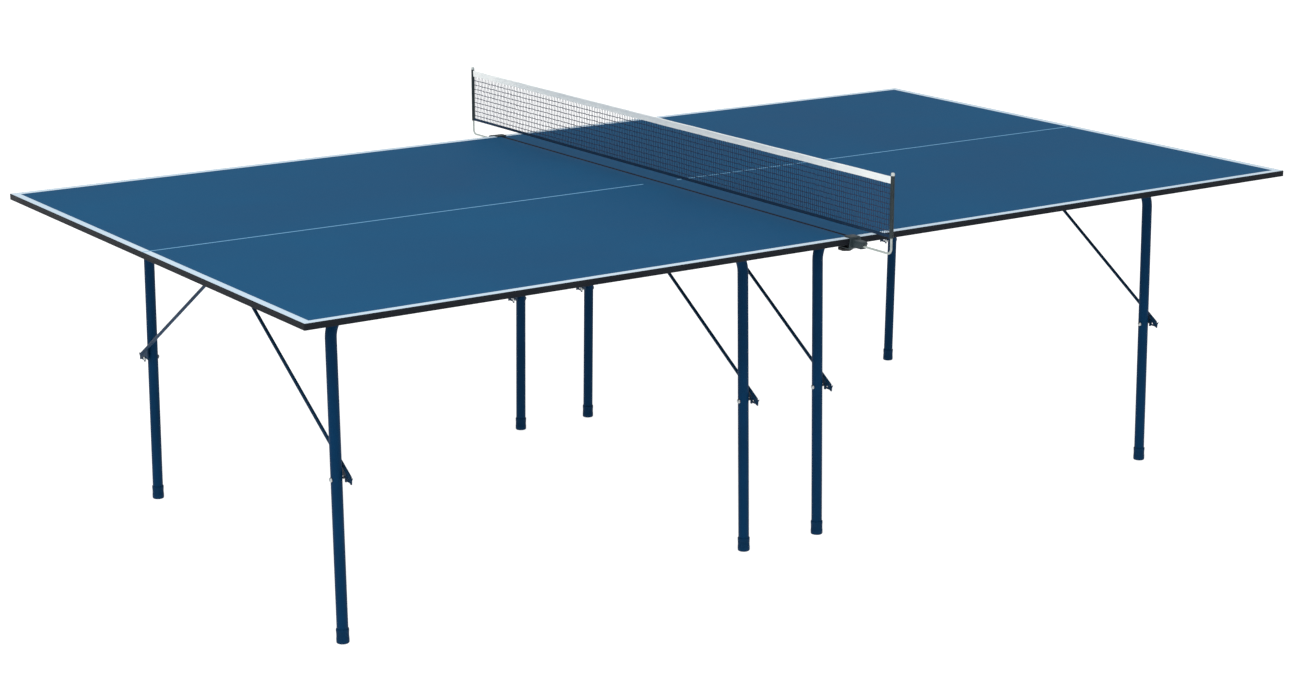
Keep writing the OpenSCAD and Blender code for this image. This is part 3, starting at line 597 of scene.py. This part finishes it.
# A dark plastic channel clips on to each post from the net's side, with a thin flange that holds
# the net's end. It grips most of the way round the wire and leaves a strip of its outer side bare.
grip_mid, grip_half_t = 0.003525, 0.000975
mouth, lip_steps = 24, 9
lip_turn = 180 / (lip_steps + 1)
swell_mean, swell_wave, swell_rate = 0.96, 0.03, 310
first_step, end_round = 0.0003, 0.0009
flange_from_post, flange_half_w, flange_half_t = 0.0052, 0.0024, 0.0007
sleeve_black = finish("sleeve_plastic", colour(50, 60, 62), colour(42, 51, 54), 0.5, grain=1500.0,
                      cloud=30.0, relief=0.00004, dust=0.15, Specular_IOR_Level=0.15)
for side, sign in SIDES.items():
    low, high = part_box("net_sleeve_" + side)
    start, end = sign * 90 + mouth, sign * 90 + 360 - mouth
    spine = np.concatenate([
        arc((0, 0), grip_mid, start, end, 33), arc((0, 0), grip_mid, end, end, lip_steps),
        arc((0, 0), grip_mid, end, start, 33), arc((0, 0), grip_mid, start, start, lip_steps)])
    thick = np.concatenate([
        arc((0, 0), grip_half_t, start, end, 33),
        arc((0, 0), grip_half_t, end + lip_turn, end + 180 - lip_turn, lip_steps),
        -arc((0, 0), grip_half_t, end, start, 33),
        arc((0, 0), grip_half_t, start + 180 + lip_turn, start + 360 - lip_turn, lip_steps)])
    z = np.concatenate([[low.z, low.z + first_step],
                        np.linspace(low.z + end_round, high.z - end_round, 40),
                        [high.z - first_step, high.z]])
    swell = swell_mean + swell_wave * np.sin(z * swell_rate)
    swell[[0, 1, -2, -1]] = 0.55, 0.83, 0.83, 0.55
    flat = spine + thick * swell[:, None, None] + (0, sign * post_y)
    grid = np.concatenate([flat, np.broadcast_to(z[:, None, None], (*flat.shape[:2], 1))], -1)
    tall = np.linspace(low.z + 0.002, high.z - 0.003, 30)
    flange = np.stack([np.zeros(30), np.full(30, sign * (post_y - flange_from_post)), tall], -1)
    strip = carried(flange, (0, 1, 0), flange_half_w, flange_half_t, 4.0, 20)
    made = skin("sleeve_" + side, [weave(grid, False), strip], sleeve_black, "table")
    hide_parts("net_sleeve_" + side)

# The net is knotted from dark yarn in meshes 12 mm high and 7.5 mm wide, the level yarns a little
# heavier. The yarns pass over and under each other, with a small knot at each crossing.
mesh_low, mesh_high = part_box("net_mesh")
tape_low, tape_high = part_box("net_tape")
level_r, upright_r = 0.00092, 0.00072
knot_r = 0.00120
level_pitch, upright_pitch = 0.0119, 0.0075
yarn_lift = 0.0004
stray_y, stray_z = 0.00035, 0.00040
end_gap, into_tape = 0.0006, 0.001


def ripple(y, size, rate, start):
    """A sine wave along the net: its size, its radians a metre, and where it starts."""
    return size * np.sin(rate * y + start)


def hang(y, z):
    """Sideways swing of the net: slow waves along it that die away at the tape and the bottom cord."""
    share = np.clip((z - mesh_low.z) / (tape_low.z - mesh_low.z), 0, 1)
    belly = 4 * share * (1 - share)
    return belly * (ripple(y, 0.0011, 7.3, 1.0) + ripple(y, 0.0007, 23.0, 2.2))


columns = round((mesh_high.y - mesh_low.y) / upright_pitch)
rows = round((tape_low.z - mesh_low.z) / level_pitch)
column_y = np.linspace(mesh_low.y + end_gap, mesh_high.y - end_gap, columns + 1)
row_z = np.linspace(mesh_low.z, tape_low.z + into_tape, rows + 1)
slack = np.random.default_rng(7)
knot_y = column_y[None, :] + slack.normal(0, stray_y, (rows + 1, columns + 1))
knot_z = row_z[:, None] + slack.normal(0, stray_z, (rows + 1, columns + 1))
knot_z[0], knot_z[-1] = row_z[0], row_z[-1]
knot_y[:, 0], knot_y[:, -1] = column_y[0], column_y[-1]
over = 1 - 2 * ((np.arange(rows + 1)[:, None] + np.arange(columns + 1)) % 2)


def yarn(y, z, lift, across, radius, sides=6):
    """Strands as tubes: each row of y and z is one strand's points, swung with the net and lifted
    over or under. Rings of points lie across the strand, along x and the axis called across."""
    turn = np.linspace(0, 2 * math.pi, sides, endpoint=False)
    x = hang(y, z) + lift
    spots = np.stack([x, y, z], -1)
    out = np.zeros((sides, 3))
    out[:, 0], out[:, across] = np.cos(turn), np.sin(turn)
    if across == 2:
        out[:, 0] *= -1
    grids = spots[:, :, None] + radius * out
    return [weave(grid, False) for grid in grids]


def doubled(values):
    """Each row with the midpoints of its neighbours put between them."""
    made = np.empty((values.shape[0], values.shape[1] * 2 - 1))
    made[:, ::2], made[:, 1::2] = values, (values[:, 1:] + values[:, :-1]) / 2
    return made


level = yarn(doubled(knot_y[1:-1]), doubled(knot_z[1:-1]), doubled(over[1:-1] * yarn_lift), 2, level_r)
upright = yarn(knot_y.T, knot_z.T, -over.T * yarn_lift, 1, upright_r, 5)
knots = []
ball = np.array([(0.35, -0.8), (0.95, -0.35), (0.95, 0.35), (0.35, 0.8)]) * knot_r
for y, z in zip(knot_y[1:-1].ravel(), knot_z[1:-1].ravel()):
    knots.append(turned(ball, (float(hang(y, z)), y, z), (0.3, 1, 0.8), 5))
net_yarn = finish("net_yarn", colour(48, 58, 84), colour(40, 50, 74), 0.85, grain=2600.0, cloud=90.0,
                  relief=0.0001, dust=0.2, Specular_IOR_Level=0.2)
net = skin("net_strands", level + upright + knots, net_yarn, "table", crease=80)
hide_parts("net_mesh")

# A white woven tape is folded over the top cord and sewn through both layers with white thread.
cloth_t = 0.0004
cord_r = 0.0012
fold_z = tape_high.z - 0.003
leg_x, leg_foot = 0.0011, 0.0002
straight = 0.35
top_r = cord_r + cloth_t
pucker, pucker_pitch, pucker_fade = 0.00012, 0.0097, 0.012
thread_w, stitch, stitch_pitch, stitch_z, unsewn = 0.00022, 0.0026, 0.0036, 0.0028, 0.004
most_dip = 0.0005
tape_white = finish("white_tape", colour(250, 251, 247), colour(240, 243, 241), 0.8, grain=2400.0,
                    cloud=18.0, relief=0.00008, dust=0.1, Specular_IOR_Level=0.2)


def folded(left, crown):
    """Section of a cloth folded in two, and the cut width of that cloth. Its middle line is the left
    leg, the crown and the left leg mirrored, and the section lies half a thickness off each side."""
    centre = np.concatenate([left, crown, left[::-1] * (-1, 1)])
    along = np.gradient(centre, axis=0)
    along /= np.linalg.norm(along, axis=1)[:, None]
    square = np.stack([-along[:, 1], along[:, 0]], -1)
    section = np.concatenate([centre + square * cloth_t / 2, (centre - square * cloth_t / 2)[::-1]])
    return section, float(np.linalg.norm(np.diff(centre, axis=0), axis=1).sum())


def tape_sway(y):
    """How far the tape strays sideways."""
    return ripple(y, 0.0003, 5.1, 0.4)


def tape_dip(y):
    """How far the tape hangs down, most in the middle."""
    return -most_dip * (1 - (y / tape_high.y) ** 2) + ripple(y, 0.0002, 31, 0)


rise = np.linspace(0, 1, 14)
ease = np.clip((rise - straight) / (1 - straight), 0, 1) ** 2
left = np.stack([-(leg_x + (top_r - leg_x) * ease),
                 tape_low.z + leg_foot + rise * (fold_z - tape_low.z)], -1)
section, cut = folded(left, arc((0, fold_z), top_r, 180, 0, 13)[1:-1])
y = np.linspace(tape_low.y, tape_high.y, 420)[:, None]
fade = np.clip((fold_z - section[:, 1]) / pucker_fade, 0, 1)
sway = tape_sway(y) + pucker * np.sin(y * 2 * math.pi / pucker_pitch) * fade
grid = np.stack([section[:, 0] + sway, np.broadcast_to(y, sway.shape), section[:, 1] + tape_dip(y)], -1)
tape = skin("net_tape_cloth", [weave(grid[::-1], False)], tape_white, "table", crease=70)
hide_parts("net_tape")
stitches = []
t = np.array([0.02, 0.2, 0.5, 0.8, 0.98])
for y in np.arange(tape_low.y + unsewn, tape_high.y - unsewn, stitch_pitch):
    for face in (-1, 1):
        x = face * (leg_x + cloth_t / 2 + thread_w * np.sin(math.pi * t)) + tape_sway(y)
        path = np.stack([x, y + stitch * t, np.full(5, tape_low.z + stitch_z + tape_dip(y))], -1)
        stitches.append(carried(path, (0, 0, 1), thread_w, sides=6))
skin("tape_stitches", stitches, tape_white, "table", crease=80)

# A white cord runs through the tape's fold, and a navy cord along the net's foot, hidden in a
# narrow dark hem that is folded up over the last row of meshes.


def laid_cord(y_low, y_high, x, z, radius, strands=3, lay=0.009):
    """Rope of twisted strands: the radius swells and dips strands times round, and the swell turns
    once for each lay of length. Twelve rings of points make one lay."""
    y = np.arange(y_low, y_high, lay / 12)
    turn = np.linspace(0, 2 * math.pi, 18, endpoint=False)
    swell = radius * (0.9 + 0.1 * np.abs(np.cos(strands / 2 * (turn - 2 * math.pi * y[:, None] / lay))))
    grid = np.stack([x + swell * np.cos(turn), np.broadcast_to(y[:, None], swell.shape),
                     z - swell * np.sin(turn)], -1)
    return weave(grid, False)


cord_white = finish("white_cord", colour(224, 228, 230), colour(208, 214, 218), 0.75, grain=3000.0,
                    cloud=60.0, relief=0.00004, dust=0.2, Specular_IOR_Level=0.2)
low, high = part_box("net_top_cord")
rope = laid_cord(low.y, high.y, 0, (low.z + high.z) / 2, cord_r)
made = skin("top_cord", [rope], cord_white, "table")
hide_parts("net_top_cord")
low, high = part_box("net_bottom_cord")
foot_z = (low.z + high.z) / 2
made = skin("bottom_cord", [laid_cord(low.y, high.y, 0, foot_z, cord_r)], net_yarn, "table")
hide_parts("net_bottom_cord")
hem_dark = finish("hem_cloth", colour(20, 48, 74), colour(16, 40, 64), 0.85, grain=2400.0, cloud=18.0,
                  relief=0.00008, dust=0.2, Specular_IOR_Level=0.2)
hem_h, hem_x = 0.0050, 0.0010
rise = np.linspace(0, 1, 9)
left = np.stack([-(hem_x + (top_r - hem_x) * (1 - rise) ** 2), foot_z + rise * hem_h], -1)[::-1]
section, cut = folded(left, arc((0, foot_z), -top_r, 0, 180, 11)[1:-1])
y = np.linspace(low.y, high.y, 300)[:, None]
x = section[:, 0] + ripple(y, 0.0003, 9.1, 1.4)
grid = np.stack([x, np.broadcast_to(y, x.shape), np.broadcast_to(section[:, 1], x.shape)], -1)
hem = skin("net_hem", [weave(grid, False)], hem_dark, "table", crease=70)
